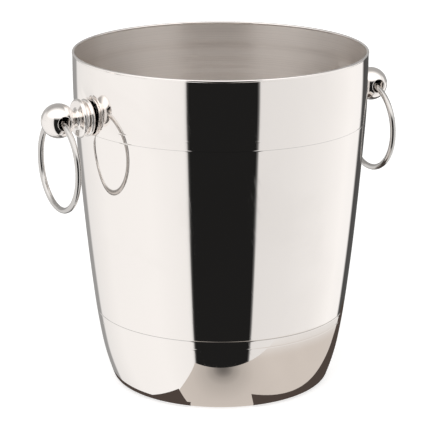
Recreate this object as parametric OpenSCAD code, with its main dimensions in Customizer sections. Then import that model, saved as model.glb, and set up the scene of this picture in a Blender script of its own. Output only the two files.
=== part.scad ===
// Champagne bucket: a spun metal pail with a rounded foot, two pairs of fine turned lines,
// and two ring handles. Each handle is a turned rosette and collar, a ball knob with a cross
// hole, and a loose wire ring, held to the wall by one screw from inside.
// Millimetres. Z is up, the origin is the middle of the base, the handles stand on the X axis.

/* [Bucket] */
// Diameter across the rim
rim_d = 200; // [180:1:240]
// Height from the table to the rim
bucket_h = 230.5; // [215:0.5:270]
// Thickness of the spun wall
wall_t = 1; // [0.8:0.1:1.4]
// Radius of the rolled edge of the rim
rim_bead_r = 0.9; // [0.8:0.05:1.2]
// Width of each fine turned line
line_w = 1; // [0.6:0.1:1.4]

/* [Handles] */
// Height of the knobs' axis below the rim
knob_drop = 36.2; // [34:0.1:42]
// How far the middle of a knob stands out past the rim
knob_reach = 20.2; // [19.6:0.1:24]
// Diameter of the ball knob
knob_d = 23; // [22:0.5:24]
// Diameter of the rosette against the wall
rosette_d = 25; // [24:0.5:26]
// Diameter of the collar between rosette and knob
collar_d = 26; // [24:0.5:27]
// Radius of the ring, to the middle of its wire
ring_r = 30; // [28:0.5:34]
// Diameter of the ring's wire
wire_d = 4; // [3.6:0.1:4.2]

/* [Fixings] */
// Diameter of the screw's thread
screw_d = 4; // [3.5:0.5:4]
// Diameter of the screw's head
head_d = 8; // [7:0.5:9]

/* [Hidden] */
$fn = 96;
OVER = 5; // how far a cutting tool runs past the face that it cuts

// ---- Bucket wall: tangent arcs. Each row is a share of the height, measured down from the
// rim, and the wall's lean there in degrees. The foot's arc then turns the wall into the base.
LEANS = [[0, 0], [0.06, 0], [0.22, 4.1], [0.52, 5.4], [0.74, 7.2], [0.87, 10.8], [0.983, 21]];
ARC_STEPS = 5;
FOOT_STEPS = 10;
LAST = len(LEANS) - 1;
rim_lip = 0.3;
wall_top_r = rim_d / 2 - rim_lip;

// ---- Base: a flat standing ring, then a low step up to the raised middle
base_ring_w = 12;
base_step_w = 3;
base_lift = 1.5;

// ---- Turned lines, as depths below the rim
LINE_DEPTHS = [for (share = [0.1766, 0.203, 0.777, 0.803]) share * bucket_h];
line_depth = 0.15;

// ---- Handle stack, outwards along the X axis from the flat seat pressed into the wall
knob_x = rim_d / 2 + knob_reach;
knob_z = bucket_h - knob_drop;
knob_r = knob_d / 2;
seat_x = rim_d / 2 - 1.8;
seat_r = rosette_d / 2 + 1.5;
seat_flank = 12; // slope of the pressed seat's flank, in degrees
outer_seal_t = 0.4;
rosette_x = seat_x + outer_seal_t;
rosette_t = 4.4;
rosette_bead_t = 3.2;
collar_x = rosette_x + rosette_t;
collar_bead_x = 0.8;
collar_bead_t = 3.4;
neck_r = 5;
neck_sink = 0.3; // how far the neck's face sits inside the ball's reach
neck_x = knob_x - knob_r + neck_sink;
neck_l = 4;
collar_t = neck_x - collar_x;
groove_r = rosette_d / 2 - 3;
outer_seal_r = groove_r - 0.5;

// ---- Cross hole through the knob: a waist that just clears the wire, flared to both mouths
waist_r = wire_d / 2 + 0.1;
flare_r = 22;

// ---- Fixings, inwards along the X axis from the wall's inner face
clearance_r = screw_d / 2 + 0.2;
thread_r = screw_d / 2 + 0.05;
inner_seal_t = 1;
inner_seal_r = 7;
washer_t = 0.8;
washer_r = 6;
lock_washer_t = 0.9;
lock_washer_r = 3.8;
lock_washer_gap = 0.9;
head_h = 2.4;
head_round = 1;
recess_w = 0.9;
recess_l = 4.6;
recess_depth = 1.2;
inner_seal_x = seat_x - wall_t - inner_seal_t;
washer_x = inner_seal_x - washer_t;
lock_washer_x = washer_x - lock_washer_t;
head_x = lock_washer_x - head_h;
drill_end_x = knob_x - waist_r - 2;
screw_end_x = drill_end_x - 1;

// ---- Profile of the bucket

// Radius of arc k, and how much narrower the wall is at its end
function arc_r(k) =
    (LEANS[k + 1][0] - LEANS[k][0]) * bucket_h / (sin(LEANS[k + 1][1]) - sin(LEANS[k][1]));
function arc_narrowing(k) =
    k < 1 ? 0 : arc_r(k) * (cos(LEANS[k][1]) - cos(LEANS[k + 1][1]));
// Outside radius of the wall where arc k starts
function start_r(k) = k < 1 ? wall_top_r : start_r(k - 1) - arc_narrowing(k - 1);
// The wall's point on arc k where it leans by a degrees, moved inwards by inset
function arc_point(k, a, inset) = [
    start_r(k) - arc_r(k) * (cos(LEANS[k][1]) - cos(a)) - inset * cos(a),
    bucket_h * (1 - LEANS[k][0]) - arc_r(k) * (sin(a) - sin(LEANS[k][1])) + inset * sin(a)
];

foot_lean = LEANS[LAST][1];
foot_arc_r = (1 - LEANS[LAST][0]) * bucket_h / (1 - sin(foot_lean));
foot_r = start_r(LAST) - foot_arc_r * cos(foot_lean);
function foot_point(a, inset) = [
    foot_r + (foot_arc_r - inset) * cos(a),
    foot_arc_r - (foot_arc_r - inset) * sin(a)
];

// The curved wall from below the rim to the base
function wall_points(inset) = concat(
    [for (k = [1:LAST - 1], i = [0:ARC_STEPS - 1])
        arc_point(k, LEANS[k][1] + (LEANS[k + 1][1] - LEANS[k][1]) * i / ARC_STEPS, inset)],
    [for (i = [0:FOOT_STEPS]) foot_point(foot_lean + (90 - foot_lean) * i / FOOT_STEPS, inset)]
);
function base_points(inset) = [
    [foot_r - base_ring_w, inset],
    [foot_r - base_ring_w - base_step_w, inset + base_lift],
    [0, inset + base_lift]
];
// Outside radius of the wall at a depth below the rim
function radius_at(depth) = lookup(depth, [for (p = wall_points(0)) [bucket_h - p[1], p[0]]]);

// ---- Helpers for pieces on the handle's axis

module along_x(x) {
    translate([x, 0, knob_z])
        rotate([0, 90, 0])
            children();
}

module bore(x, length, r) {
    along_x(x) cylinder(h = length, r = r);
}

// A flat disc with a hole for the screw
module ring_plate(x, r, t) {
    difference() {
        along_x(x) cylinder(h = t, r = r);
        bore(x - OVER, t + 2 * OVER, clearance_r);
    }
}

// ---- Bucket

// The space that a rosette's pressed seat takes out of the bucket, moved inwards by inset
module seat_space(inset) {
    rise = 2 * OVER;
    along_x(seat_x - inset)
        cylinder(h = rise, r1 = seat_r, r2 = seat_r + rise / tan(seat_flank));
}

// The bucket as a full turned block, moved inwards by inset and running past the rim by over
module turned_block(inset, over) {
    top = bucket_h + over;
    rim = [[0, top], [wall_top_r - inset, top]];
    difference() {
        rotate_extrude() polygon(concat(rim, wall_points(inset), base_points(inset)));
        seat_space(inset);
        mirror([1, 0, 0]) seat_space(inset);
    }
}

module rim_bead() {
    translate([0, 0, bucket_h - rim_bead_r])
        rotate_extrude()
            translate([rim_d / 2 - rim_bead_r, 0])
                circle(r = rim_bead_r);
}

module turned_line(depth) {
    translate([0, 0, bucket_h - depth])
        rotate_extrude()
            translate([radius_at(depth) + line_w / 2 - line_depth, 0])
                circle(d = line_w);
}

module screw_hole() {
    bore(seat_x - wall_t - OVER, wall_t + 2 * OVER, clearance_r);
}

module body() {
    color("silver") difference() {
        union() {
            difference() {
                turned_block(0, 0);
                turned_block(wall_t, OVER);
            }
            rim_bead();
        }
        for (depth = LINE_DEPTHS) turned_line(depth);
        screw_hole();
        mirror([1, 0, 0]) screw_hole();
    }
}

// ---- One handle, drawn on +X

module outer_seal() {
    color("dimgray") ring_plate(seat_x, outer_seal_r, outer_seal_t);
}

module rosette() {
    edge_r = rosette_bead_t / 2;
    color("silver") difference() {
        along_x(rosette_x) rotate_extrude() union() {
            square([rosette_d / 2 - edge_r, rosette_bead_t]);
            translate([rosette_d / 2 - edge_r, edge_r]) circle(r = edge_r);
            square([groove_r, rosette_t]);
        }
        bore(rosette_x - OVER, rosette_t + 2 * OVER, clearance_r);
    }
}

module collar() {
    edge_r = collar_bead_t / 2;
    shoulder = collar_t - collar_bead_x - collar_bead_t;
    color("silver") difference() {
        along_x(collar_x) rotate_extrude() union() {
            square([groove_r, collar_bead_x + edge_r]);
            translate([0, collar_bead_x]) square([collar_d / 2 - edge_r, collar_bead_t]);
            translate([collar_d / 2 - edge_r, collar_bead_x + edge_r]) circle(r = edge_r);
            translate([neck_r + 1, collar_t - shoulder]) circle(r = shoulder);
            square([neck_r + 1, collar_t]);
        }
        bore(collar_x - OVER, collar_t + 2 * OVER, clearance_r);
    }
}

// A ball with a flared hole along the Y axis, which the ring turns in
module pierced_ball() {
    translate([knob_x, 0, knob_z])
        rotate([90, 0, 0])
            rotate_extrude() intersection() {
                circle(r = knob_r);
                translate([waist_r + flare_r, 0]) circle(r = flare_r);
            }
}

module knob() {
    color("silver") difference() {
        union() {
            pierced_ball();
            along_x(neck_x) cylinder(h = neck_l, r = neck_r);
        }
        bore(neck_x - OVER, drill_end_x - neck_x + OVER, thread_r);
    }
}

module ring() {
    color("silver")
        translate([0, 0, -ring_r])
            along_x(knob_x)
                rotate_extrude()
                    translate([ring_r, 0])
                        circle(d = wire_d);
}

module inner_seal() {
    color("dimgray") ring_plate(inner_seal_x, inner_seal_r, inner_seal_t);
}

module washer() {
    color("gainsboro") ring_plate(washer_x, washer_r, washer_t);
}

module lock_washer() {
    color("gray") difference() {
        ring_plate(lock_washer_x, lock_washer_r, lock_washer_t);
        translate([lock_washer_x - OVER, -lock_washer_gap / 2, knob_z])
            cube([lock_washer_t + 2 * OVER, lock_washer_gap, lock_washer_r + OVER]);
    }
}

module screw() {
    head_r = head_d / 2;
    color("gainsboro") difference() {
        union() {
            along_x(head_x) rotate_extrude() union() {
                square([head_r - head_round, head_h]);
                translate([0, head_round]) square([head_r, head_h - head_round]);
                translate([head_r - head_round, head_round]) circle(r = head_round);
            }
            along_x(head_x + head_h / 2)
                cylinder(h = screw_end_x - head_x - head_h / 2, d = screw_d);
        }
        for (turn = [0, 90])
            along_x(head_x)
                rotate([0, 0, turn])
                    cube([recess_l, recess_w, 2 * recess_depth], center = true);
    }
}

// ---- The same pieces on both sides

module on_left() {
    mirror([1, 0, 0]) children();
}

module left_outer_seal() { on_left() outer_seal(); }
module left_rosette() { on_left() rosette(); }
module left_collar() { on_left() collar(); }
module left_knob() { on_left() knob(); }
module left_ring() { on_left() ring(); }
module left_inner_seal() { on_left() inner_seal(); }
module left_washer() { on_left() washer(); }
module left_lock_washer() { on_left() lock_washer(); }
module left_screw() { on_left() screw(); }

body();
left_outer_seal();
left_rosette();
left_collar();
left_knob();
left_ring();
left_inner_seal();
left_washer();
left_lock_washer();
left_screw();
outer_seal();  // right_outer_seal
rosette();  // right_rosette
collar();  // right_collar
knob();  // right_knob
ring();  // right_ring
inner_seal();  // right_inner_seal
washer();  // right_washer
lock_washer();  // right_lock_washer
screw();  // right_screw
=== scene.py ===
"""A polished champagne bucket with two ring handles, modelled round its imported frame.

Metres, in the frame's own axes: Z is up, the bucket's axis is Z and the handles lie on X.
"""

from math import asin, atan2, ceil, cos, degrees, hypot, pi, radians, sin, sqrt

import bpy
from bpy.props import BoolProperty, FloatProperty, FloatVectorProperty, IntProperty, PointerProperty
from mathutils import Euler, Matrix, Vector


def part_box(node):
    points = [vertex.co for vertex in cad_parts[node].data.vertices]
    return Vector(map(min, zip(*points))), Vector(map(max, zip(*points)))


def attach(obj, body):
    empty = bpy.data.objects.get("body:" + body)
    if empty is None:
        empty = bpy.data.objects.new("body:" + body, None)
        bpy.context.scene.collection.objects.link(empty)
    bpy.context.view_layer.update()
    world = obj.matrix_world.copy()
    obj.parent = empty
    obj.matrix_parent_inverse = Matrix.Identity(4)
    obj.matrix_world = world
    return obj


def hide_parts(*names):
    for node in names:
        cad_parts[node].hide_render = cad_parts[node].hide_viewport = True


bl_info = {
    "name": "Champagne bucket",
    "version": (1, 0, 0),
    "blender": (4, 5, 0),
    "location": "3D View > Sidebar > Bucket",
    "description": "Models a spun champagne bucket with ring handles, and the studio it stands in",
    "category": "Object",
}

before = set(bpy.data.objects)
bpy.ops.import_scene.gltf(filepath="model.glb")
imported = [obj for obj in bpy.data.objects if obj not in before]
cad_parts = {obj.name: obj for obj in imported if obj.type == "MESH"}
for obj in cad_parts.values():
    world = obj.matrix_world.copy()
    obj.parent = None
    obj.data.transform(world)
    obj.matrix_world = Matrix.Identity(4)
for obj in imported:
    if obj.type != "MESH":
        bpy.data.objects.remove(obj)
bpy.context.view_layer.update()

# ---- Places, from the frame

MERGE_DISTANCE = 1e-6
FULL_TURN = 2 * pi


def reach(node):
    """Nearest and furthest distance of a right-hand node from the bucket's axis, along X."""
    low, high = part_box(node)
    return low.x, high.x


def radius_on_axis(node):
    """Radius of a node that is turned round the handle's axis."""
    low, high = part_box(node)
    return (high.z - low.z) / 2


def middle(node):
    """Middle of a node's box."""
    low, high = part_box(node)
    return (low + high) / 2


BODY_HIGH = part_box("body")[1]
BUCKET_HEIGHT = BODY_HIGH.z
RIM_RADIUS = BODY_HIGH.y
KNOB_AXIS_HEIGHT = middle("right_collar").z
KNOB_RADIUS = radius_on_axis("right_knob")
KNOB_CENTRE = Vector((reach("right_knob")[1] - KNOB_RADIUS, 0, KNOB_AXIS_HEIGHT))
RING_CENTRE = middle("right_ring")
SEAT_X = reach("right_outer_seal")[0]
WALL_THICKNESS = SEAT_X - reach("right_inner_seal")[1]

# The wall as tangent arcs: the share of the height, measured down from the rim, and the
# wall's lean there in degrees. The foot's arc then turns the wall into the base.
WALL_LEANS = (
    (0.0, 0.0),
    (0.06, 0.0),
    (0.22, 4.1),
    (0.52, 5.4),
    (0.74, 7.2),
    (0.87, 10.8),
    (0.983, 21.0),
)
# The turned lines: the share of the height below the rim, and how boldly each is cut.
LINES = ((0.1766, 0.2), (0.203, 0.6), (0.777, 1.0), (0.803, 0.25))
# Faces cut deeper than this share of a line's full depth get the darker Turned line finish: painted
# shade in the groove.
PAINTED_SHADE_LINE_SHARE = 0.5


# ---- Settings


def metres(name, description, default):
    """A length in metres."""
    return FloatProperty(
        name=name, description=description, default=default, subtype="DISTANCE", unit="LENGTH"
    )


def tilt(name, description, default):
    """An angle, its default in degrees."""
    return FloatProperty(
        name=name, description=description, default=radians(default),
        subtype="ANGLE", unit="ROTATION",
    )


def paint(name, description, *default):
    """An opaque colour."""
    return FloatVectorProperty(
        name=name, description=description, default=(*default, 1.0),
        subtype="COLOR", size=4, min=0, max=1,
    )


class BucketSizes(bpy.types.PropertyGroup):
    """Sizes of the spun pail."""

    wall: metres("Wall", "Thickness of the spun sheet", WALL_THICKNESS)
    rim_bead: metres("Rim bead", "Radius of the rolled edge", 0.0009)
    rim_lip: metres("Rim lip", "How far the rolled edge stands out past the wall", 0.0003)
    line_width: metres("Line width", "Width of each fine turned line", 0.001)
    line_depth: metres("Line depth", "Depth of each fine turned line", 0.00012)
    base_ring: metres("Standing ring", "Width of the flat ring that the bucket stands on", 0.012)
    base_step: metres("Base step", "Width of the slope up to the raised middle of the base", 0.003)
    base_lift: metres("Base lift", "Height of the raised middle of the base", 0.0015)
    seat_radius: metres("Seat radius", "Radius of the flat pressed for each rosette", 0.013)
    seat_blend: metres("Seat blend", "How far the pressed flat fades into the round wall", 0.006)
    around: IntProperty(
        name="Steps around", description="Steps of the spin", default=384, min=48,
    )
    ring_gap: metres("Ring gap", "Height between the mesh's rings along the wall", 0.0036)


class HandleSizes(bpy.types.PropertyGroup):
    """Sizes of the turned fittings."""

    rosette_bead: metres("Rosette bead", "Thickness of the rosette's round edge", 0.0032)
    groove: metres("Groove depth", "Depth of the groove between rosette and collar", 0.003)
    collar_step: metres("Collar step", "Height of the plain step under the collar's bead", 0.0008)
    collar_bead: metres("Collar bead", "Thickness of the collar's round edge", 0.0034)
    neck_radius: metres("Neck radius", "Radius of the neck between collar and knob", 0.005)
    neck_land: metres("Neck land", "Width of the collar's flat round the neck", 0.001)
    hole_waist: metres("Hole waist", "Radius of the knob's cross hole in its middle", 0.0021)
    hole_flare: metres("Hole flare", "Radius of the curve that flares the cross hole", 0.022)
    screw_radius: metres("Screw radius", "Radius of the screw", 0.002)
    clearance: metres("Clearance", "Room between the screw and the holes it passes", 0.0002)
    soft_edge: metres("Soft edge", "Radius of the small rounds on turned edges", 0.0003)


class Finishes(bpy.types.PropertyGroup):
    """Colours and polish of the metals and the rubber."""

    silver: paint("Polished metal", "Colour of the mirror polish", 0.965, 0.93, 0.905)
    silver_aged: paint("Aged metal", "Colour where the polish has dulled in corners", 0.60, 0.56, 0.52)
    satin: paint("Satin inside", "Colour of the satin metal inside the bucket", 0.90, 0.85, 0.81)
    satin_dark: paint("Satin lines", "Colour of the spinning lines inside the bucket", 0.80, 0.755, 0.72)
    wire: paint("Ring wire", "Colour of the rings' drawn wire", 0.64, 0.625, 0.61)
    # The turned line colour is painted shade: darker metal for the grooves of the bolder turned lines.
    line: paint("Turned line", "Colour in the bolder turned lines", 0.60, 0.585, 0.57)
    steel: paint("Fixing steel", "Colour of the screws and washers", 0.62, 0.61, 0.60)
    rubber: paint("Seal rubber", "Colour of the seals", 0.028, 0.027, 0.026)


class StudioSettings(bpy.types.PropertyGroup):
    """Camera and surroundings."""

    camera_turn: tilt("Camera turn", "Angle of the camera round the bucket from its front", -28.4)
    camera_distance: metres("Camera distance", "Level distance from the bucket's axis", 1.4137)
    camera_height: metres("Camera height", "Height of the camera above the rim", 0.2874)
    camera_pitch: tilt("Camera pitch", "How far the camera looks down", 15.94)
    camera_yaw: tilt("Camera yaw", "How far the camera looks past the bucket's axis", 0.149)
    camera_lens: FloatProperty(
        name="Focal length", description="Focal length on a 36 mm sensor",
        default=178.8, subtype="DISTANCE_CAMERA", unit="CAMERA",
    )
    floor_size: metres("Floor size", "Length of each side of the floor", 8.0)
    show_cards: BoolProperty(
        name="Reflection cards", description="Lay the low cards that the foot mirrors",
        default=True,
    )


# ---- Modelling helpers


def clear_selection():
    """Leaves edit mode and selects nothing."""
    if bpy.context.object and bpy.context.object.mode != "OBJECT":
        bpy.ops.object.mode_set(mode="OBJECT")
    bpy.ops.object.select_all(action="DESELECT")


def edit():
    """Goes into edit mode on the active piece."""
    bpy.ops.object.mode_set(mode="EDIT")


def leave():
    """Goes back to object mode."""
    bpy.ops.object.mode_set(mode="OBJECT")


def apply_place():
    """Puts the active piece's place, turn and scale into its mesh."""
    bpy.ops.object.transform_apply(location=True, rotation=True, scale=True)


def select_only(piece):
    """Makes one piece the active and only selected object."""
    clear_selection()
    piece.select_set(True)
    bpy.context.view_layer.objects.active = piece


def name_piece(name):
    """Names the active object and its mesh."""
    piece = bpy.context.object
    piece.name = name
    piece.data.name = name
    return piece


def arc(centre, radius, start, end, steps):
    """Points on an arc in a (radius, height) plane, its angles in degrees."""
    turns = [radians(start + (end - start) * i / steps) for i in range(steps + 1)]
    return [(centre[0] + radius * cos(t), centre[1] + radius * sin(t)) for t in turns]


def draw_outline(name, outline):
    """Draws an outline as a chain of edges: one vertex, extruded from point to point."""
    clear_selection()
    bpy.ops.mesh.primitive_plane_add(size=1e-3, location=(outline[0][0], 0, outline[0][1]))
    piece = name_piece(name)
    edit()
    bpy.context.tool_settings.mesh_select_mode = (True, False, False)
    bpy.ops.mesh.merge(type="CENTER")
    for here, there in zip(outline, outline[1:]):
        step = (there[0] - here[0], 0, there[1] - here[1])
        bpy.ops.mesh.extrude_vertices_move(TRANSFORM_OT_translate={"value": step})
    return piece


def close_up():
    """Merges doubles and points the faces outwards, in edit mode."""
    bpy.ops.mesh.select_all(action="SELECT")
    bpy.ops.mesh.remove_doubles(threshold=MERGE_DISTANCE)
    bpy.ops.mesh.normals_make_consistent(inside=False)


def turn(name, outline, around, crease=30):
    """Turns an outline of (radius, height) points round Z into a closed piece."""
    piece = draw_outline(name, outline)
    bpy.ops.mesh.select_all(action="SELECT")
    bpy.ops.mesh.spin(steps=around, angle=FULL_TURN, center=(0, 0, 0), axis=(0, 0, 1))
    close_up()
    leave()
    apply_place()
    smooth(piece, crease)
    return piece


def smooth(piece, crease=30):
    """Shades a piece smooth apart from edges sharper than crease, in degrees."""
    select_only(piece)
    bpy.ops.object.shade_smooth_by_angle(angle=radians(crease))


def place(piece, rotation=(0, 0, 0), location=(0, 0, 0)):
    """Turns and moves a piece, and applies both to its mesh."""
    select_only(piece)
    piece.rotation_euler = rotation
    piece.location = location
    apply_place()
    return piece


def lay_on_handle(piece):
    """Turns a piece from the Z axis onto the right-hand handle's axis, its height along X."""
    return place(piece, (0, pi / 2, 0), (0, 0, KNOB_AXIS_HEIGHT))


def copy_to_left(piece, name):
    """Copies a right-hand piece, mesh and all, half a turn round the bucket."""
    select_only(piece)
    bpy.ops.object.duplicate(linked=False)
    twin = name_piece(name)
    return place(twin, (0, 0, pi))


def select_vertices(piece, wanted):
    """Selects the vertices that a test accepts, ready for edit mode."""
    select_only(piece)
    mesh = piece.data
    mesh.polygons.foreach_set("select", [False] * len(mesh.polygons))
    mesh.edges.foreach_set("select", [False] * len(mesh.edges))
    mesh.vertices.foreach_set("select", [bool(wanted(v.co)) for v in mesh.vertices])


def apply_modifier(piece, kind, **settings):
    """Adds a modifier with its settings, and applies it."""
    select_only(piece)
    modifier = piece.modifiers.new(kind.title(), kind)
    for key, value in settings.items():
        setattr(modifier, key, value)
    bpy.ops.object.modifier_apply(modifier=modifier.name)


def combine(piece, tool, operation):
    """Joins, cuts or keeps the overlap of two solids, and deletes the tool."""
    apply_modifier(piece, "BOOLEAN", object=tool, operation=operation, solver="EXACT")
    bpy.data.objects.remove(tool)


def soften_edges(piece, width, angle=35, segments=3):
    """Rounds the sharp edges of a piece."""
    apply_modifier(
        piece, "BEVEL", width=width, segments=segments, limit_method="ANGLE",
        angle_limit=radians(angle), harden_normals=False,
    )


def finish_pair(right, name, slot, body="bucket"):
    """Gives a right-hand piece its finish, copies it to the left, and sets both on the frame."""
    right.data.materials.clear()
    right.data.materials.append(make_materials()[slot])
    pair = {"right": right, "left": copy_to_left(right, name + "_left")}
    for side, piece in pair.items():
        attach(piece, body.format(side=side))
        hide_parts(side + "_" + name)


def turned_pair(name, outline, around, slot):
    """Turns an outline into a pair of pieces on the handles' axis."""
    finish_pair(lay_on_handle(turn(name + "_right", outline, around)), name, slot)


# ---- Shader helpers


def add_node(tree, kind, **settings):
    """Adds a shader node and sets its properties."""
    node = tree.nodes.new("ShaderNode" + kind)
    for key, value in settings.items():
        setattr(node, key, value)
    return node


def start_group(name, scale, *outputs):
    """Starts a shader node group that takes a place and perhaps a scale, and gives numbers."""
    group = bpy.data.node_groups.new(name, "ShaderNodeTree")
    sockets = group.interface
    sockets.new_socket(name="Vector", in_out="INPUT", socket_type="NodeSocketVector")
    if scale is not None:
        made = sockets.new_socket(name="Scale", in_out="INPUT", socket_type="NodeSocketFloat")
        made.default_value = scale
    for socket in outputs:
        sockets.new_socket(name=socket, in_out="OUTPUT", socket_type="NodeSocketFloat")
    source = group.nodes.new("NodeGroupInput")
    sink = group.nodes.new("NodeGroupOutput")
    return group, source, sink


def stretched_noise(tree, vector, turn_angle, stretch, scale, detail):
    """Noise drawn out into lines, turned by an angle about Z."""
    mapping = add_node(tree, "Mapping", vector_type="POINT")
    mapping.inputs["Rotation"].default_value = turn_angle
    mapping.inputs["Scale"].default_value = stretch
    noise = add_node(tree, "TexNoise")
    noise.inputs["Detail"].default_value = detail
    tree.links.new(vector, mapping.inputs["Vector"])
    tree.links.new(mapping.outputs["Vector"], noise.inputs["Vector"])
    tree.links.new(scale, noise.inputs["Scale"])
    return noise.outputs["Fac"]


def math_node(tree, operation, first, second):
    """A Math node on two sockets or numbers."""
    node = add_node(tree, "Math", operation=operation)
    for socket, value in zip(node.inputs, (first, second)):
        if isinstance(value, bpy.types.NodeSocket):
            tree.links.new(value, socket)
        else:
            socket.default_value = value
    return node.outputs["Value"]


def remap(tree, value, low, high, to_low, to_high):
    """Maps a range of values smoothly to another range."""
    node = add_node(tree, "MapRange", interpolation_type="SMOOTHSTEP")
    node.inputs["From Min"].default_value = low
    node.inputs["From Max"].default_value = high
    for socket, limit in (("To Min", to_low), ("To Max", to_high)):
        if isinstance(limit, bpy.types.NodeSocket):
            tree.links.new(limit, node.inputs[socket])
        else:
            node.inputs[socket].default_value = limit
    tree.links.new(value, node.inputs["Value"])
    return node.outputs["Result"]


def polish_marks_group():
    """Fine hairlines that a polishing cloth leaves, crossing in three directions."""
    group, source, sink = start_group("Polish marks", 60.0, "Mask")
    vector = source.outputs["Vector"]
    scale = source.outputs["Scale"]
    total = None
    for spin in (0.3, 1.4, 2.5):
        lines = stretched_noise(group, vector, (spin, 0.6, spin), (1, 26, 1), scale, 3)
        lines = remap(group, lines, 0.60, 0.74, 0.0, 1.0)
        total = lines if total is None else math_node(group, "MAXIMUM", total, lines)
    group.links.new(total, sink.inputs["Mask"])
    return group


def smudges_group():
    """Soft patches where the polish is a little duller, as after handling."""
    group, source, sink = start_group("Smudges", 14.0, "Mask")
    noise = add_node(group, "TexNoise")
    noise.inputs["Detail"].default_value = 4
    noise.inputs["Distortion"].default_value = 0.6
    group.links.new(source.outputs["Vector"], noise.inputs["Vector"])
    group.links.new(source.outputs["Scale"], noise.inputs["Scale"])
    patches = remap(group, noise.outputs["Fac"], 0.45, 0.72, 0.0, 1.0)
    group.links.new(patches, sink.inputs["Mask"])
    return group


def turning_lines_group():
    """Rings round an axis, as a lathe or a spinning tool leaves them."""
    group, source, sink = start_group("Turning lines", 900.0, "Mask", "Broad")
    split = add_node(group, "SeparateXYZ")
    group.links.new(source.outputs["Vector"], split.inputs["Vector"])
    squares = [math_node(group, "POWER", split.outputs[axis], 2.0) for axis in ("X", "Y")]
    away = math_node(group, "SQRT", math_node(group, "ADD", *squares), 0.0)
    along = math_node(group, "ADD", away, split.outputs["Z"])
    fine = add_node(group, "TexNoise", noise_dimensions="1D")
    fine.inputs["Detail"].default_value = 5
    broad = add_node(group, "TexNoise", noise_dimensions="1D")
    broad.inputs["Detail"].default_value = 2
    group.links.new(along, fine.inputs["W"])
    group.links.new(along, broad.inputs["W"])
    group.links.new(source.outputs["Scale"], fine.inputs["Scale"])
    wide_scale = math_node(group, "MULTIPLY", source.outputs["Scale"], 0.12)
    group.links.new(wide_scale, broad.inputs["Scale"])
    group.links.new(fine.outputs["Fac"], sink.inputs["Mask"])
    group.links.new(broad.outputs["Fac"], sink.inputs["Broad"])
    return group


def corners_group():
    """Finds hollows, where polish residue stays, and edges, which wear bright."""
    group, source, sink = start_group("Corners and edges", None, "Hollow", "Edge")
    geometry = add_node(group, "NewGeometry")
    point = geometry.outputs["Pointiness"]
    noise = add_node(group, "TexNoise")
    noise.inputs["Scale"].default_value = 900
    group.links.new(source.outputs["Vector"], noise.inputs["Vector"])
    ragged = remap(group, noise.outputs["Fac"], 0.2, 0.8, -0.01, 0.01)
    uneven = math_node(group, "ADD", point, ragged)
    hollow = remap(group, uneven, 0.49, 0.42, 0.0, 1.0)
    edge = remap(group, uneven, 0.53, 0.60, 0.0, 1.0)
    group.links.new(hollow, sink.inputs["Hollow"])
    group.links.new(edge, sink.inputs["Edge"])
    return group


def place_group(tree, group, **values):
    """Places a node group in a material, on Object coordinates, with its own values."""
    node = add_node(tree, "Group")
    node.node_tree = group
    coordinates = tree.nodes.get("Object place") or add_node(tree, "TexCoord", name="Object place")
    tree.links.new(coordinates.outputs["Object"], node.inputs["Vector"])
    for socket, value in values.items():
        node.inputs[socket].default_value = value
    return node


def centre_group(tree, node, centre, rotation):
    """Centres and turns a group's pattern on a piece."""
    mapping = add_node(tree, "Mapping", vector_type="TEXTURE")
    mapping.inputs["Location"].default_value = centre
    mapping.inputs["Rotation"].default_value = rotation
    tree.links.new(tree.nodes["Object place"].outputs["Object"], mapping.inputs["Vector"])
    tree.links.new(mapping.outputs["Vector"], node.inputs["Vector"])


def mix_colours(tree, factor, first, second):
    """Mixes two colours, or sockets, by a factor socket."""
    node = add_node(tree, "Mix", data_type="RGBA")
    tree.links.new(factor, node.inputs[0])
    for socket, value in zip(node.inputs[6:8], (first, second)):
        if isinstance(value, bpy.types.NodeSocket):
            tree.links.new(value, socket)
        else:
            socket.default_value = value
    return node.outputs[2]


def add_bump(tree, height, distance, strength):
    """Turns a height into a normal."""
    bump = add_node(tree, "Bump")
    bump.inputs["Distance"].default_value = distance
    bump.inputs["Strength"].default_value = strength
    tree.links.new(height, bump.inputs["Height"])
    return bump.outputs["Normal"]


def start_material(name, metallic, **constants):
    """A material with a Principled shader and its constant values."""
    material = bpy.data.materials.new(name)
    material.use_nodes = True
    tree = material.node_tree
    shader = tree.nodes["Principled BSDF"]
    shader.inputs["Metallic"].default_value = metallic
    for socket, value in constants.items():
        shader.inputs[socket.replace("_", " ")].default_value = value
    return material, tree, shader


def feed(tree, shader, **sockets):
    """Connects sockets to the shader's inputs, by input name."""
    for name, socket in sockets.items():
        tree.links.new(socket, shader.inputs[name.replace("_", " ")])


# ---- Finishes


def mirror_metal(name, groups, bright, aged, roughness, marks_scale):
    """Mirror-polished metal with hairlines, duller patches and aged hollows."""
    material, tree, shader = start_material(name, 1.0)
    corners = place_group(tree, groups["corners"])
    marks = place_group(tree, groups["marks"], Scale=marks_scale)
    smudges = place_group(tree, groups["smudges"], Scale=14.0)
    patches = remap(tree, smudges.outputs["Mask"], 0.0, 1.0, 0.0, 0.06)
    patchy = mix_colours(tree, patches, tuple(bright), tuple(aged))
    aged_share = remap(tree, corners.outputs["Hollow"], 0.0, 1.0, 0.0, 0.55)
    colour = mix_colours(tree, aged_share, patchy, tuple(aged))
    dull = remap(tree, smudges.outputs["Mask"], 0.0, 1.0, roughness, roughness + 0.035)
    scratched = remap(tree, marks.outputs["Mask"], 0.0, 1.0, 0.0, 0.05)
    rough = math_node(tree, "ADD", dull, scratched)
    corner_rough = remap(tree, corners.outputs["Hollow"], 0.0, 1.0, 0.0, 0.16)
    rough = math_node(tree, "ADD", rough, corner_rough)
    normal = add_bump(tree, marks.outputs["Mask"], 0.000002, 0.25)
    feed(tree, shader, Base_Color=colour, Roughness=rough, Normal=normal)
    return material


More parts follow.
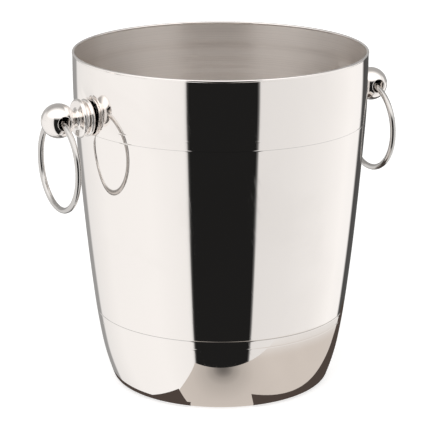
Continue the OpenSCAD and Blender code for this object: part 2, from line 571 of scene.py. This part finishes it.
def satin_metal(name, groups, colours):
    """Satin metal with the fine rings that spinning leaves, for the bucket's inside."""
    material, tree, shader = start_material(name, 1.0)
    lines = place_group(tree, groups["lines"], Scale=1400.0)
    smudges = place_group(tree, groups["smudges"], Scale=9.0)
    tone = remap(tree, lines.outputs["Mask"], 0.35, 0.65, 0.0, 0.5)
    lined = mix_colours(tree, tone, tuple(colours.satin), tuple(colours.satin_dark))
    patches = remap(tree, smudges.outputs["Mask"], 0.0, 1.0, 0.0, 0.22)
    colour = mix_colours(tree, patches, lined, tuple(colours.satin_dark))
    rough = remap(tree, lines.outputs["Broad"], 0.3, 0.7, 0.38, 0.46)
    around = add_node(tree, "Tangent", direction_type="RADIAL", axis="Z").outputs["Tangent"]
    shader.inputs["Anisotropic"].default_value = 0.85
    shader.inputs["Anisotropic Rotation"].default_value = 0.25
    normal = add_bump(tree, lines.outputs["Mask"], 0.00002, 0.35)
    feed(tree, shader, Base_Color=colour, Roughness=rough, Tangent=around, Normal=normal)
    return material


def turned_steel(name, groups, colours):
    """Plain machined steel with rings from the lathe and bright worn edges."""
    material, tree, shader = start_material(name, 1.0)
    lines = place_group(tree, groups["lines"], Scale=5200.0)
    centre_group(tree, lines, (0, 0, KNOB_AXIS_HEIGHT), (0, pi / 2, 0))
    corners = place_group(tree, groups["corners"])
    shade = remap(tree, lines.outputs["Mask"], 0.3, 0.7, 0.0, 0.35)
    lined = mix_colours(tree, shade, tuple(colours.steel), tuple(colours.satin_dark))
    worn = mix_colours(tree, corners.outputs["Edge"], lined, tuple(colours.silver))
    rough = remap(tree, lines.outputs["Mask"], 0.3, 0.7, 0.24, 0.38)
    normal = add_bump(tree, lines.outputs["Mask"], 0.00001, 0.5)
    feed(tree, shader, Base_Color=worn, Roughness=rough, Normal=normal)
    return material


def moulded_rubber(name, groups, colours):
    """Black moulded rubber with a fine grain and a dusty bloom."""
    material, tree, shader = start_material(name, 0.0, Specular_IOR_Level=0.35)
    grain = place_group(tree, groups["smudges"], Scale=2600.0)
    bloom = place_group(tree, groups["smudges"], Scale=160.0)
    dusty = remap(tree, bloom.outputs["Mask"], 0.0, 1.0, 0.0, 0.12)
    colour = mix_colours(tree, dusty, tuple(colours.rubber), tuple(colours.satin_dark))
    rough = remap(tree, grain.outputs["Mask"], 0.0, 1.0, 0.55, 0.75)
    normal = add_bump(tree, grain.outputs["Mask"], 0.00004, 0.6)
    feed(tree, shader, Base_Color=colour, Roughness=rough, Normal=normal)
    return material


MATERIALS = {}


def make_materials():
    """Makes every finish once, each under its slot's name."""
    if MATERIALS:
        return MATERIALS
    colours = bpy.context.scene.finishes
    groups = {
        "marks": polish_marks_group(),
        "smudges": smudges_group(),
        "lines": turning_lines_group(),
        "corners": corners_group(),
    }
    for key, name, bright, roughness, marks_scale in (
        ("polished_shell", "Polished shell", colours.silver, 0.02, 46.0),
        ("polished_fittings", "Polished fittings", colours.silver, 0.06, 150.0),
        ("ring_wire", "Ring wire", colours.wire, 0.09, 240.0),
        # The Turned line finish is darker metal, painted shade in the grooves of the bolder lines.
        ("line", "Turned line", colours.line, 0.08, 240.0),
    ):
        MATERIALS[key] = mirror_metal(
            name, groups, bright, colours.silver_aged, roughness, marks_scale
        )
    MATERIALS["satin"] = satin_metal("Satin inside", groups, colours)
    MATERIALS["fixing_steel"] = turned_steel("Fixing steel", groups, colours)
    MATERIALS["seal_rubber"] = moulded_rubber("Seal rubber", groups, colours)
    return MATERIALS


# ---- The bucket's outline


def wall_at(depth):
    """Radius, height and lean of the wall's outer face at a depth below the rim."""
    radius = RIM_RADIUS - bpy.context.scene.bucket_sizes.rim_lip
    for (share, lean), (next_share, next_lean) in zip(WALL_LEANS, WALL_LEANS[1:]):
        top = share * BUCKET_HEIGHT
        bottom = next_share * BUCKET_HEIGHT
        start = radians(lean)
        end = radians(next_lean)
        here = min(depth, bottom)
        if lean == next_lean:
            angle = start
        else:
            bend = (bottom - top) / (sin(end) - sin(start))
            angle = asin(sin(start) + (here - top) / bend)
            radius -= bend * (cos(start) - cos(angle))
        if depth <= bottom:
            break
    return radius, BUCKET_HEIGHT - depth, angle


def foot_arc():
    """Centre, radius and start angle of the arc that turns the wall into the base."""
    share, lean = WALL_LEANS[-1]
    start = radians(lean)
    rise = (1 - share) * BUCKET_HEIGHT
    radius = rise / (1 - sin(start))
    wall_radius = wall_at(share * BUCKET_HEIGHT)[0]
    return (wall_radius - radius * cos(start), radius), radius, lean


def line_dip(depth, sizes):
    """How deep the turned lines cut at a depth: each is a smooth round-bottomed groove."""
    for share, boldness in LINES:
        across = abs(depth - share * BUCKET_HEIGHT) / (sizes.line_width / 2)
        if across < 1:
            return boldness * sizes.line_depth * (1 + cos(pi * across)) / 2
    return 0.0


def wall_depths(first, sizes, with_lines):
    """Depths of the mesh's rings down the wall, closer together at each turned line."""
    last = WALL_LEANS[-1][0] * BUCKET_HEIGHT
    count = ceil((last - first) / sizes.ring_gap)
    depths = [first + (last - first) * i / count for i in range(count + 1)]
    if with_lines:
        half = sizes.line_width / 2
        for share, _ in LINES:
            centre = share * BUCKET_HEIGHT
            depths = [d for d in depths if abs(d - centre) > 2 * half]
            depths += [centre + half * i / 4 for i in range(-5, 6)]
    return sorted(depths)


def wall_outline(first, inset, sizes, with_lines):
    """The wall from a depth below the rim to the foot's arc, moved inwards by inset."""
    points = []
    for depth in wall_depths(first, sizes, with_lines):
        radius, height, lean = wall_at(depth)
        sink = inset + (line_dip(depth, sizes) if with_lines else 0.0)
        points.append((radius - sink * cos(lean), height + sink * sin(lean)))
    return points


def foot_outline(inset):
    """The foot's arc down to the standing ring, moved inwards by inset."""
    centre, radius, lean = foot_arc()
    return arc(centre, radius - inset, -lean, -90, 16)


def base_outline(inset, sizes):
    """The standing ring, the step and the raised middle, out from the foot to the axis."""
    edge = foot_arc()[0][0]
    inner = edge - sizes.base_ring
    raised = inner - sizes.base_step
    flat = [(edge - sizes.base_ring * share, inset) for share in (0.5, 0.96)]
    slope = [
        (inner - sizes.base_step * share, inset + sizes.base_lift * (1 - cos(pi * share)) / 2)
        for share in (0.15, 0.3, 0.45, 0.6, 0.75, 0.9)
    ]
    middle_disc = [(raised * share, inset + sizes.base_lift) for share in (0.98, 0.7, 0.35, 0)]
    return flat + slope + middle_disc


def rim_outline(sizes):
    """The rolled edge, from the wall's outer face over the top to its inner face."""
    bead = sizes.rim_bead
    centre = (RIM_RADIUS - bead, BUCKET_HEIGHT - bead)
    outer = RIM_RADIUS - sizes.rim_lip - centre[0]
    inner = outer - sizes.wall
    start = -degrees(asin(sqrt(1 - (outer / bead) ** 2)))
    end = 180 + degrees(asin(sqrt(1 - (inner / bead) ** 2)))
    return arc(centre, bead, start, end, 22)


def bucket_outline(sizes):
    """The whole closed outline, from the axis under the base round to the axis inside."""
    rim = rim_outline(sizes)
    outer_first = BUCKET_HEIGHT - rim[0][1] + sizes.ring_gap / 2
    inner_first = BUCKET_HEIGHT - rim[-1][1] + sizes.ring_gap / 2
    outside = wall_outline(outer_first, 0.0, sizes, True)
    outside += foot_outline(0.0)[1:] + base_outline(0.0, sizes)
    inside = wall_outline(inner_first, sizes.wall, sizes, False)
    inside += foot_outline(sizes.wall)[1:] + base_outline(sizes.wall, sizes)
    return outside[::-1] + rim + inside


def press_seats(piece, sizes):
    """Presses a flat for each rosette into both skins of the wall, fading into its curve."""
    for side in (-1, 1):
        for skin, level in ((1, SEAT_X), (-1, SEAT_X - sizes.wall)):

            def on_seat(point):
                wall = wall_at(BUCKET_HEIGHT - point.z)[0] - sizes.wall / 2
                outer = hypot(point.x, point.y) > wall
                near = hypot(point.y, point.z - KNOB_AXIS_HEIGHT) < sizes.seat_radius
                return near and point.x * side > 0 and outer == (skin > 0)

            select_vertices(piece, on_seat)
            edit()
            bpy.ops.transform.resize(
                value=(0, 1, 1),
                center_override=(side * level, 0, KNOB_AXIS_HEIGHT),
                use_proportional_edit=True,
                proportional_edit_falloff="SMOOTH",
                proportional_size=sizes.seat_blend,
                use_proportional_connected=True,
            )
            leave()


def is_inside(polygon, sizes):
    """Whether a face of the shell is on the bucket's inside."""
    centre = polygon.center
    normal = polygon.normal
    facing = normal.x * centre.x + normal.y * centre.y
    floor = sizes.base_lift + sizes.wall * 1.5
    if centre.z > BUCKET_HEIGHT - 2.2 * sizes.rim_bead:
        return False
    return facing < -1e-4 or (normal.z > 0.2 and centre.z < floor)


# ---- Operators


class BUCKET_OT_make_shell(bpy.types.Operator):
    """Model the spun pail with its rolled rim, turned lines, foot and pressed seats"""

    bl_idname = "bucket.make_shell"
    bl_label = "Make the bucket"

    def execute(self, context):
        sizes = context.scene.bucket_sizes
        shell = turn("bucket_shell", bucket_outline(sizes), sizes.around)
        press_seats(shell, sizes)
        smooth(shell, 30)
        finishes = make_materials()
        for key in ("polished_shell", "satin", "line"):
            shell.data.materials.append(finishes[key])
        for polygon in shell.data.polygons:
            if is_inside(polygon, sizes):
                polygon.material_index = 1
            # Faces deep in the bolder turned lines get the darker line finish, painted shade in their
            # grooves.
            elif line_dip(BUCKET_HEIGHT - polygon.center.z, sizes) > PAINTED_SHADE_LINE_SHARE * sizes.line_depth:
                polygon.material_index = 2
        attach(shell, "bucket")
        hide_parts("body")
        return {"FINISHED"}


def screw_hole():
    """Radius of the holes that the screw passes."""
    sizes = bpy.context.scene.handle_sizes
    return sizes.screw_radius + sizes.clearance


def plate_outline(node, edge):
    """Outline of a flat washer with soft edges, closed, at the node's own place and size."""
    near, far = reach(node)
    outer = radius_on_axis(node)
    hole = screw_hole()
    points = arc((hole + edge, near + edge), edge, 180, 270, 3)
    points += arc((outer - edge, near + edge), edge, 270, 360, 3)
    points += arc((outer - edge, far - edge), edge, 0, 90, 3)
    points += arc((hole + edge, far - edge), edge, 90, 180, 3)
    return points + points[:1]


class BUCKET_OT_make_seals(bpy.types.Operator):
    """Model the rubber seals on both sides of the wall"""

    bl_idname = "bucket.make_seals"
    bl_label = "Make the seals"

    def execute(self, context):
        for name in ("outer_seal", "inner_seal"):
            outline = plate_outline("right_" + name, 0.00025)
            turned_pair(name, outline, 72, "seal_rubber")
        return {"FINISHED"}


class BUCKET_OT_make_rosettes(bpy.types.Operator):
    """Model the rosettes, each a disc with a round bead for its edge"""

    bl_idname = "bucket.make_rosettes"
    bl_label = "Make the rosettes"

    def execute(self, context):
        sizes = context.scene.handle_sizes
        near, far = reach("right_rosette")
        outer = radius_on_axis("right_rosette")
        hole = screw_hole()
        bead = sizes.rosette_bead / 2
        land = outer - sizes.groove
        edge = sizes.soft_edge
        outline = [(hole, near), (outer - bead, near)]
        outline += arc((outer - bead, near + bead), bead, -90, 90, 24)[1:]
        outline += arc((land + edge, near + 2 * bead + edge), edge, 270, 180, 4)
        outline += arc((land - edge, far - edge), edge, 0, 90, 4)
        outline += [(hole, far), (hole, near)]
        turned_pair("rosette", outline, 120, "polished_fittings")
        return {"FINISHED"}


class BUCKET_OT_make_collars(bpy.types.Operator):
    """Model the collars, each a bead over a groove with a round shoulder to the neck"""

    bl_idname = "bucket.make_collars"
    bl_label = "Make the collars"

    def execute(self, context):
        sizes = context.scene.handle_sizes
        near, far = reach("right_collar")
        outer = radius_on_axis("right_collar")
        hole = screw_hole()
        bead = sizes.collar_bead / 2
        land = radius_on_axis("right_rosette") - sizes.groove
        bead_bottom = near + sizes.collar_step
        bead_top = bead_bottom + 2 * bead
        shoulder = far - bead_top
        flat = sizes.neck_radius + sizes.neck_land
        edge = sizes.soft_edge
        outline = [(hole, near), (land, near)]
        outline += arc((land + edge, bead_bottom - edge), edge, 180, 90, 4)
        outline += arc((outer - bead, bead_bottom + bead), bead, -90, 90, 26)
        outline += arc((flat + shoulder, far), shoulder, 270, 180, 14)
        outline += [(flat, far), (hole, far), (hole, near)]
        turned_pair("collar", outline, 120, "polished_fittings")
        return {"FINISHED"}


class BUCKET_OT_make_knobs(bpy.types.Operator):
    """Model the ball knobs, each with a short neck and a flared cross hole for its ring"""

    bl_idname = "bucket.make_knobs"
    bl_label = "Make the knobs"

    def execute(self, context):
        sizes = context.scene.handle_sizes
        ball = KNOB_RADIUS
        flare = sizes.hole_flare
        flare_centre = sizes.hole_waist + flare
        chord = (ball ** 2 + flare_centre ** 2 - flare ** 2) / (2 * flare_centre)
        mouth = sqrt(ball ** 2 - chord ** 2)
        latitude = degrees(atan2(mouth, chord))
        flare_angle = degrees(asin(mouth / flare))
        outline = arc((0, 0), ball, latitude, -latitude, 72)
        outline += arc((flare_centre, 0), flare, 180 + flare_angle, 180 - flare_angle, 24)[1:]
        knob = turn("knob_right", outline, 112)
        soften_edges(knob, 0.0007, 40, 5)
        place(knob, (pi / 2, 0, 0), KNOB_CENTRE)
        knob_face = reach("right_knob")[0]
        neck = self.make_neck(sizes, knob_face)
        combine(knob, neck, "UNION")
        smooth(knob, 30)
        finish_pair(knob, "knob", "polished_fittings")
        return {"FINISHED"}

    def make_neck(self, sizes, knob_face):
        """The short neck that the knob stands on, as a tool to join to the ball."""
        length = 0.004
        edge = sizes.soft_edge
        outline = [(0, knob_face), (sizes.neck_radius - edge, knob_face)]
        outline += arc((sizes.neck_radius - edge, knob_face + edge), edge, -90, 0, 4)[1:]
        outline += [(sizes.neck_radius, knob_face + length), (0, knob_face + length)]
        return lay_on_handle(turn("neck", outline, 96))


class BUCKET_OT_make_rings(bpy.types.Operator):
    """Model the rings of bent wire, each with its butt joint hidden in the knob"""

    bl_idname = "bucket.make_rings"
    bl_label = "Make the rings"

    def execute(self, context):
        low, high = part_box("right_ring")
        wire = (high.x - low.x) / 2
        ring = (high.y - low.y) / 2 - wire
        outline = arc((ring, 0), wire, 0, 360, 28)
        piece = turn("ring_right", outline, 224)
        joint = 0.5 * FULL_TURN / 224

        def at_joint(point):
            return abs(atan2(point.y, -point.x)) < joint

        select_vertices(piece, at_joint)
        edit()
        bpy.ops.transform.resize(value=(0.998, 1, 0.94), center_override=(-ring, 0, 0))
        leave()
        place(piece, (0, pi / 2, 0), RING_CENTRE)
        smooth(piece, 30)
        finish_pair(piece, "ring", "ring_wire", "{side}_ring_handle")
        return {"FINISHED"}


class BUCKET_OT_make_washers(bpy.types.Operator):
    """Model the plain washers and the split lock washers inside the wall"""

    bl_idname = "bucket.make_washers"
    bl_label = "Make the washers"

    def execute(self, context):
        turned_pair("washer", plate_outline("right_washer", 0.00015), 96, "fixing_steel")
        finish_pair(self.make_split_washer(), "lock_washer", "fixing_steel")
        return {"FINISHED"}

    def make_split_washer(self):
        """A ring of square wire with a gap at its top, its two ends closed."""
        gap = 0.0009
        swing = FULL_TURN - gap / radius_on_axis("right_lock_washer")
        piece = draw_outline("lock_washer_right", plate_outline("right_lock_washer", 0.00012))
        bpy.ops.mesh.select_all(action="SELECT")
        bpy.ops.mesh.remove_doubles(threshold=MERGE_DISTANCE)
        bpy.ops.mesh.select_all(action="SELECT")
        bpy.ops.mesh.spin(steps=80, angle=swing, center=(0, 0, 0), axis=(0, 0, 1))
        bpy.ops.mesh.select_all(action="SELECT")
        bpy.ops.mesh.fill_holes(sides=0)
        close_up()
        leave()
        apply_place()
        place(piece, (0, 0, gap / 2 / radius_on_axis("right_lock_washer") + pi))
        smooth(piece, 35)
        return lay_on_handle(piece)


class BUCKET_OT_make_screws(bpy.types.Operator):
    """Model the pan-head screws, each with a cross recess"""

    bl_idname = "bucket.make_screws"
    bl_label = "Make the screws"

    def execute(self, context):
        sizes = context.scene.handle_sizes
        near, far = reach("right_screw")
        head = radius_on_axis("right_screw")
        face = reach("right_lock_washer")[0]
        round_edge = 0.001
        tip = 0.0006
        shank = sizes.screw_radius
        outline = [(0, near), (head * 0.4, near)]
        outline += arc((head - round_edge, near + round_edge), round_edge, -90, 0, 10)
        outline += [(head, face - 0.0001), (head - 0.0001, face)]
        outline += [(shank, face), (shank, far - tip), (shank - tip, far), (0, far)]
        screw = turn("screw_right", outline, 96)
        combine(screw, self.make_recess(near), "DIFFERENCE")
        smooth(screw, 30)
        lay_on_handle(screw)
        finish_pair(screw, "screw", "fixing_steel")
        return {"FINISHED"}

    def make_recess(self, face):
        """The tapered cross that a screwdriver fits, as a tool to cut the head with."""
        length, width, depth = 0.0046, 0.0009, 0.0012
        arms = []
        for turned in (0, pi / 2):
            clear_selection()
            bpy.ops.mesh.primitive_cube_add(
                size=1, location=(0, 0, face), scale=(length, width, 2 * depth),
                rotation=(0, 0, turned),
            )
            arm = name_piece("recess_arm")
            apply_place()
            select_vertices(arm, lambda point: point.z > face)
            edit()
            bpy.ops.transform.resize(value=(0.55, 0.55, 1), center_override=(0, 0, face))
            leave()
            arms.append(arm)
        combine(arms[0], arms[1], "UNION")
        return arms[0]


# ---- The studio

# Brightness of the surroundings by angle round from the camera, in degrees: a grey wall
# behind, a white screen on each side, and between them the dark room behind the camera.
LOW_SURROUNDINGS = (
    (-180, 0.33), (-151, 0.33), (-147, 0.82), (-110, 0.94), (-60, 0.96), (-30, 0.90),
    (-27, 0.86), (-25.2, 0.013), (29.2, 0.013), (31, 0.78), (60, 0.81), (90, 0.88),
    (122, 0.99), (143, 0.96), (147, 0.07), (165, 0.09), (180, 0.20),
)
# The same above the table's level, where the wall behind is wider.
HIGH_SURROUNDINGS = (
    (-180, 0.45), (-130, 0.50), (-120, 0.86), (-60, 0.96), (-30, 0.90),
    (-27, 0.86), (-25.2, 0.013), (31.2, 0.013), (33, 0.78), (60, 0.81), (90, 0.88),
    (112, 0.95), (122, 0.40), (180, 0.40),
)
# The low cards, seen from the camera's side: X to its right and Y away from it. The board
# lies in front and to the right, and the shades are discs, cut by lines that are each given
# by a point and the direction that is cut off.
LOWEST_CARD = 0.0002
BOARD_RADIUS = 0.16
BOARD_LEFT = -0.036
BOARD_FRONT = -0.12
SHADED_SPOT = (0.004, -0.119, 0)
SHADE_COLOUR = (0.075, 0.058, 0.05, 1)
FOOT_SHADE_CUT = 0.28
WEDGE_TIP = (-0.037, -0.080)
SHADES = (
    (
        "foot_shade", 0.077, (0, 0), 2 * LOWEST_CARD,
        [((0, 0), (cos(FOOT_SHADE_CUT), -sin(FOOT_SHADE_CUT)))],
    ),
    (
        "cast_shade", 0.278, (-0.13, 0.15), 2 * LOWEST_CARD,
        [((0, 0), (-0.951, -0.309)), ((0, 0.13), (0, 1))],
    ),
    (
        "wedge_shade", 0.016, (-0.037, -0.066), 2.5 * LOWEST_CARD,
        [(WEDGE_TIP, (-0.86, -0.51)), (WEDGE_TIP, (0.474, -0.88))],
    ),
)
# The low board's brightness by distance from its shaded spot.
SPOT_TONES = ((0, 0.15), (0.007, 0.34), (0.018, 0.47), (0.042, 0.58), (0.075, 0.64))
SPOT_REACH = 0.075
BOARD_TINT = (1.0, 0.915, 0.84)
OVERHEAD = (1.35, 1.33, 1.31, 1)
OVERHEAD_BEHIND = (0.42, 0.41, 0.40, 1)
WARM_WHITE = (1.0, 0.985, 0.97)


def make_world(settings):
    """Surrounds the bucket with screens by angle, an open top, and plain white for the camera."""
    world = bpy.data.worlds.new("Studio")
    bpy.context.scene.world = world
    world.use_nodes = True
    tree = world.node_tree
    tree.nodes.clear()
    coordinates = add_node(tree, "TexCoord")
    turned = add_node(tree, "Mapping", vector_type="POINT")
    turned.inputs["Rotation"].default_value = (0, 0, -settings.camera_turn)
    split = add_node(tree, "SeparateXYZ")
    tree.links.new(coordinates.outputs["Generated"], turned.inputs["Vector"])
    tree.links.new(turned.outputs["Vector"], split.inputs["Vector"])
    forward = math_node(tree, "MULTIPLY", split.outputs["Y"], -1.0)
    angle = math_node(tree, "ARCTAN2", split.outputs["X"], forward)
    share = math_node(tree, "MULTIPLY_ADD", angle, 1 / FULL_TURN)
    share.node.inputs[2].default_value = 0.5
    levels = []
    for stops in (LOW_SURROUNDINGS, HIGH_SURROUNDINGS):
        screens = add_node(tree, "ValToRGB")
        turned = [(0.5 + angle / 360, value) for angle, value in stops]
        set_ramp(screens.color_ramp, turned, WARM_WHITE)
        tree.links.new(share, screens.inputs["Fac"])
        levels.append(screens.outputs["Color"])
    above = remap(tree, split.outputs["Z"], -0.16, -0.04, 0.0, 1.0)
    around_table = mix_colours(tree, above, *levels)
    overhead = remap(tree, split.outputs["Z"], 0.30, 0.62, 0.0, 1.0)
    backwards = remap(tree, split.outputs["Y"], -0.2, 0.5, 0.0, 1.0)
    ceiling = mix_colours(tree, backwards, OVERHEAD, OVERHEAD_BEHIND)
    sky = mix_colours(tree, overhead, around_table, ceiling)
    around = add_node(tree, "Background")
    seen = add_node(tree, "Background")
    seen.inputs["Color"].default_value = (1, 1, 1, 1)
    tree.links.new(sky, around.inputs["Color"])
    light_path = add_node(tree, "LightPath")
    mix = add_node(tree, "MixShader")
    output = add_node(tree, "OutputWorld")
    tree.links.new(light_path.outputs["Is Camera Ray"], mix.inputs[0])
    tree.links.new(around.outputs["Background"], mix.inputs[1])
    tree.links.new(seen.outputs["Background"], mix.inputs[2])
    tree.links.new(mix.outputs["Shader"], output.inputs["Surface"])


def set_ramp(ramp, stops, tint):
    """Sets a colour ramp from positions and brightnesses, all in one tint."""
    while len(ramp.elements) < len(stops):
        ramp.elements.new(0.5)
    for element, (position, value) in zip(ramp.elements, stops):
        element.position = position
    for element, (position, value) in zip(ramp.elements, stops):
        element.color = (*(value * part for part in tint), 1)


def glowing_card(name, colour):
    """A plain card that shows one colour in reflections."""
    material, tree, shader = start_material(name, 0.0, Roughness=1.0, Specular_IOR_Level=0.0)
    shader.inputs["Base Color"].default_value = (0, 0, 0, 1)
    shader.inputs["Emission Color"].default_value = colour
    shader.inputs["Emission Strength"].default_value = 1.0
    return material, tree, shader


def distance_from(tree, point):
    """Distance of the surface from a fixed point, as a socket."""
    coordinates = add_node(tree, "TexCoord")
    node = add_node(tree, "VectorMath", operation="DISTANCE")
    node.inputs[1].default_value = point
    tree.links.new(coordinates.outputs["Object"], node.inputs[0])
    return node.outputs["Value"]


def board_material(shaded_spot):
    """The low board: shaded at its front and paling to white at its far edge."""
    material, tree, shader = glowing_card("Board", (1, 1, 1, 1))
    toned = add_node(tree, "ValToRGB")
    spot = remap(tree, distance_from(tree, shaded_spot), 0.0, SPOT_REACH, 0.0, 1.0)
    shares = [(far / SPOT_REACH, value) for far, value in SPOT_TONES]
    set_ramp(toned.color_ramp, shares, BOARD_TINT)
    tree.links.new(spot, toned.inputs["Fac"])
    rim = remap(tree, distance_from(tree, (0, 0, 0)), 0.126, 0.156, 0.0, 1.0)
    paling = mix_colours(tree, rim, toned.outputs["Color"], (0.80, 0.78, 0.76, 1))
    tree.links.new(paling, shader.inputs["Emission Color"])
    return material


def only_reflected(card):
    """Hides a card from everything but reflections."""
    card.visible_camera = False
    card.visible_diffuse = False
    card.visible_shadow = False
    card.visible_transmission = False


class BUCKET_OT_make_stage(bpy.types.Operator):
    """Set up the camera, the pale floor, the low cards and the soft light"""

    bl_idname = "bucket.make_stage"
    bl_label = "Make the studio"

    def execute(self, context):
        settings = context.scene.studio
        context.scene.view_settings.view_transform = "Standard"
        self.add_camera(context, settings)
        make_world(settings)
        self.add_floor(settings)
        if settings.show_cards:
            self.add_cards(settings)
        return {"FINISHED"}

    def add_camera(self, context, settings):
        """The camera, turned round the bucket and looking down at it."""
        turned = settings.camera_turn
        level = settings.camera_distance
        height = BUCKET_HEIGHT + settings.camera_height
        clear_selection()
        bpy.ops.object.camera_add(
            location=(level * sin(turned), -level * cos(turned), height),
            rotation=(pi / 2 - settings.camera_pitch, 0, turned + settings.camera_yaw),
        )
        camera = context.object
        camera.name = "Camera"
        camera.data.sensor_width = 36
        camera.data.lens = settings.camera_lens
        context.scene.camera = camera

    def add_floor(self, settings):
        """A plain pale floor, lit evenly, that polished metal doesn't mirror."""
        clear_selection()
        bpy.ops.mesh.primitive_plane_add(size=settings.floor_size, location=(0, 0, 0))
        floor = name_piece("floor")
        place(floor)
        material, _, shader = start_material("Pale floor", 0.0, Roughness=0.9)
        shader.inputs["Base Color"].default_value = (0.62, 0.62, 0.62, 1)
        shader.inputs["Specular IOR Level"].default_value = 0.0
        shader.inputs["Emission Color"].default_value = (1, 1, 1, 1)
        shader.inputs["Emission Strength"].default_value = 0.62
        floor.data.materials.append(material)
        floor.visible_glossy = False

    def add_cards(self, settings):
        """A low board in front and to the right, and the dark shade round the foot."""
        board = self.cut_disc(
            "low_board", BOARD_RADIUS, (0, 0), LOWEST_CARD,
            [((BOARD_LEFT, 0), (-1, 0)), ((0, BOARD_FRONT), (0, -1))], settings,
        )
        front = Vector(SHADED_SPOT)
        front.rotate(Euler((0, 0, settings.camera_turn)))
        board.data.materials.append(board_material(front))
        shade = glowing_card("Shade", SHADE_COLOUR)[0]
        for name, radius, centre, height, cuts in SHADES:
            card = self.cut_disc(name, radius, centre, height, cuts, settings)
            card.data.materials.append(shade)

    def cut_disc(self, name, radius, centre, height, cuts, settings):
        """A low disc, cut by straight lines as seen from the camera's side, for reflections."""
        clear_selection()
        bpy.ops.mesh.primitive_circle_add(
            vertices=192, radius=radius, fill_type="NGON", location=(*centre, height)
        )
        disc = name_piece(name)
        apply_place()
        edit()
        for point, outwards in cuts:
            bpy.ops.mesh.select_all(action="SELECT")
            bpy.ops.mesh.bisect(
                plane_co=(*point, 0), plane_no=(*outwards, 0), clear_outer=True, use_fill=False
            )
        leave()
        place(disc, (0, 0, settings.camera_turn))
        only_reflected(disc)
        return disc


class BUCKET_PT_panel(bpy.types.Panel):
    """Sizes, finishes and operators of the champagne bucket"""

    bl_label = "Champagne bucket"
    bl_space_type = "VIEW_3D"
    bl_region_type = "UI"
    bl_category = "Bucket"

    def draw(self, context):
        layout = self.layout
        for group in ("bucket_sizes", "handle_sizes", "finishes", "studio"):
            settings = getattr(context.scene, group)
            box = layout.box()
            for key in settings.__annotations__:
                box.prop(settings, key)
        for operator in STEPS:
            layout.operator(operator.bl_idname)


SETTINGS = {
    "bucket_sizes": BucketSizes,
    "handle_sizes": HandleSizes,
    "finishes": Finishes,
    "studio": StudioSettings,
}
STEPS = (
    BUCKET_OT_make_stage,
    BUCKET_OT_make_shell,
    BUCKET_OT_make_seals,
    BUCKET_OT_make_rosettes,
    BUCKET_OT_make_collars,
    BUCKET_OT_make_knobs,
    BUCKET_OT_make_rings,
    BUCKET_OT_make_washers,
    BUCKET_OT_make_screws,
)
CLASSES = (*SETTINGS.values(), *STEPS, BUCKET_PT_panel)


def register():
    for item in CLASSES:
        bpy.utils.register_class(item)
    for key, group in SETTINGS.items():
        setattr(bpy.types.Scene, key, PointerProperty(type=group))


def unregister():
    for key in SETTINGS:
        delattr(bpy.types.Scene, key)
    for item in reversed(CLASSES):
        bpy.utils.unregister_class(item)


def main():
    register()
    bpy.ops.bucket.make_stage()
    bpy.ops.bucket.make_shell()
    bpy.ops.bucket.make_seals()
    bpy.ops.bucket.make_rosettes()
    bpy.ops.bucket.make_collars()
    bpy.ops.bucket.make_knobs()
    bpy.ops.bucket.make_rings()
    bpy.ops.bucket.make_washers()
    bpy.ops.bucket.make_screws()


if __name__ == "__main__":
    main()
